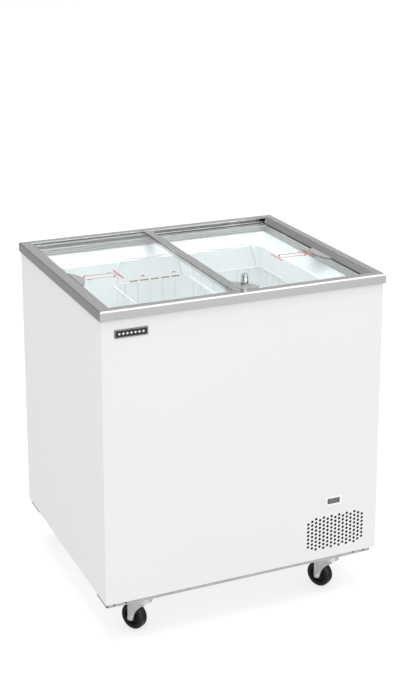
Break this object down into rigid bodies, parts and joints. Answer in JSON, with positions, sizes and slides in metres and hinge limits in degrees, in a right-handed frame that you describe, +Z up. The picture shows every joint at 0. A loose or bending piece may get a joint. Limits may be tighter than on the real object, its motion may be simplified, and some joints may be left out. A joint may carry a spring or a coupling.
{
  "type": "ice cream display chest freezer",
  "caption": "Low chest freezer on swivel casters with two sliding glass lids at two levels, hanging wire baskets and a front-vented cooling unit.",
  "frame": {"origin": "on the floor, at the middle of the footprint of the top frame", "axes": "+X to the right along the front, +Y to the back, +Z up"},
  "size_m": [0.72, 0.62, 0.8473],
  "materials": {
    "white_paint": "gloss",
    "galvanised": "satin",
    "liner_white": "gloss",
    "collar_plastic": "gloss",
    "foam": "matte",
    "copper": "satin",
    "white_plastic": "satin",
    "black_plastic": "matte",
    "badge_black": "gloss",
    "display_glass": "gloss",
    "frame_grey": "satin",
    "grey_plastic": "satin",
    "clear_glass": "gloss",
    "lock_chrome": "polished",
    "basket_wire": "gloss",
    "condenser_fins": "satin",
    "compressor_black": "satin",
    "foot_rubber": "matte",
    "wheel_black": "satin",
    "zinc_bolt": "satin"
  },
  "bodies": {
    "cabinet": {"front_panel": "white_paint", "left_side_panel": "white_paint", "right_side_panel": "white_paint", "back_panel": "white_paint", "base_panel": "galvanised", "base_channel_front": "galvanised", "base_channel_rear": "galvanised", "fan_shroud": "galvanised", "caster_plates": "galvanised", "inner_liner": "liner_white", "collar": "collar_plastic", "foam_insulation": "foam", "evaporator_loops": "copper", "refrigerant_pipes": "copper", "display_bezel": "white_plastic", "drain_tube": "white_plastic", "channel_end_caps": "black_plastic", "cable_gland": "black_plastic", "control_box": "black_plastic", "badge_plate": "badge_black", "display_window": "display_glass", "front_rail": "frame_grey", "rear_rail": "frame_grey", "left_rail": "frame_grey", "right_rail": "frame_grey", "condenser": "condenser_fins", "compressor": "compressor_black", "fan_motor": "compressor_black", "compressor_grommets": "foot_rubber", "caster_bolts": "zinc_bolt"},
    "upper_lid": {"upper_lid_glass": "clear_glass", "upper_centre_profile": "frame_grey", "brush_seal": "black_plastic", "upper_lid_grip": "grey_plastic", "lock_bracket": "grey_plastic", "lock_sleeve": "lock_chrome"},
    "lock_barrel": {"lock_barrel": "lock_chrome"},
    "lock_key_plug": {"lock_key_plug": "lock_chrome"},
    "lower_lid": {"lower_lid_glass": "clear_glass", "lower_centre_profile": "frame_grey", "lower_lid_grip": "grey_plastic", "lower_strike_block": "grey_plastic"},
    "basket_left": {"basket_left": "basket_wire"},
    "basket_right": {"basket_right": "basket_wire"},
    "divider_left": {"divider_left": "basket_wire"},
    "divider_right": {"divider_right": "basket_wire"},
    "drain_plug": {"drain_plug": "white_plastic"},
    "fan": {"fan_blade": "black_plastic"},
    "fork_front_left": {"caster_fork_front_left": "galvanised", "caster_axle_front_left": "zinc_bolt"},
    "wheel_front_left": {"caster_wheel_front_left": "wheel_black"},
    "fork_front_right": {"caster_fork_front_right": "galvanised", "caster_axle_front_right": "zinc_bolt"},
    "wheel_front_right": {"caster_wheel_front_right": "wheel_black"},
    "fork_rear_left": {"caster_fork_rear_left": "galvanised", "caster_axle_rear_left": "zinc_bolt"},
    "wheel_rear_left": {"caster_wheel_rear_left": "wheel_black"},
    "fork_rear_right": {"caster_fork_rear_right": "galvanised", "caster_axle_rear_right": "zinc_bolt"},
    "wheel_rear_right": {"caster_wheel_rear_right": "wheel_black"}
  },
  "joints": [
    {"name": "upper_lid_slide", "type": "slide", "parent": "cabinet", "child": "upper_lid", "axis": [1, 0, 0], "range_m": [0, 0.28]},
    {"name": "lower_lid_slide", "type": "slide", "parent": "cabinet", "child": "lower_lid", "axis": [-1, 0, 0], "range_m": [0, 0.28]},
    {"name": "lock_push", "type": "slide", "parent": "upper_lid", "child": "lock_barrel", "axis": [0, 0, -1], "range_m": [0, 0.007], "stiffness_N_per_m": 400, "springref_m": -0.003},
    {"name": "key_turn", "type": "hinge", "parent": "lock_barrel", "child": "lock_key_plug", "pos_m": [0.017, -0.248, 0.84], "axis": [0, 0, 1], "range_deg": [0, 90]},
    {"name": "basket_left_lift", "type": "slide", "parent": "cabinet", "child": "basket_left", "axis": [0, 0, 1], "range_m": [0, 0.026]},
    {"name": "basket_right_lift", "type": "slide", "parent": "cabinet", "child": "basket_right", "axis": [0, 0, 1], "range_m": [0, 0.026]},
    {"name": "divider_left_lift", "type": "slide", "parent": "basket_left", "child": "divider_left", "axis": [0, 0, 1], "range_m": [0, 0.026]},
    {"name": "divider_right_lift", "type": "slide", "parent": "basket_right", "child": "divider_right", "axis": [0, 0, 1], "range_m": [0, 0.026]},
    {"name": "drain_plug_pull", "type": "slide", "parent": "cabinet", "child": "drain_plug", "axis": [0, 0, 1], "range_m": [0, 0.021]},
    {"name": "fan_spin", "type": "hinge", "parent": "cabinet", "child": "fan", "pos_m": [0.241, -0.226, 0.205], "axis": [0, 1, 0], "continuous": true},
    {"name": "swivel_front_left", "type": "hinge", "parent": "cabinet", "child": "fork_front_left", "pos_m": [-0.25, -0.263, 0.085], "axis": [0, 0, 1], "continuous": true},
    {"name": "roll_front_left", "type": "hinge", "parent": "fork_front_left", "child": "wheel_front_left", "pos_m": [-0.263, -0.24048, 0.032], "axis": [-0.866, -0.5, 0], "continuous": true},
    {"name": "swivel_front_right", "type": "hinge", "parent": "cabinet", "child": "fork_front_right", "pos_m": [0.25, -0.263, 0.085], "axis": [0, 0, 1], "continuous": true},
    {"name": "roll_front_right", "type": "hinge", "parent": "fork_front_right", "child": "wheel_front_right", "pos_m": [0.237, -0.24048, 0.032], "axis": [-0.866, -0.5, 0], "continuous": true},
    {"name": "swivel_rear_left", "type": "hinge", "parent": "cabinet", "child": "fork_rear_left", "pos_m": [-0.25, 0.263, 0.085], "axis": [0, 0, 1], "continuous": true},
    {"name": "roll_rear_left", "type": "hinge", "parent": "fork_rear_left", "child": "wheel_rear_left", "pos_m": [-0.27356, 0.25201, 0.032], "axis": [0.4226, -0.9063, 0], "continuous": true},
    {"name": "swivel_rear_right", "type": "hinge", "parent": "cabinet", "child": "fork_rear_right", "pos_m": [0.25, 0.263, 0.085], "axis": [0, 0, 1], "continuous": true},
    {"name": "roll_rear_right", "type": "hinge", "parent": "fork_rear_right", "child": "wheel_rear_right", "pos_m": [0.22589, 0.27274, 0.032], "axis": [-0.3746, -0.9272, 0], "continuous": true}
  ]
}
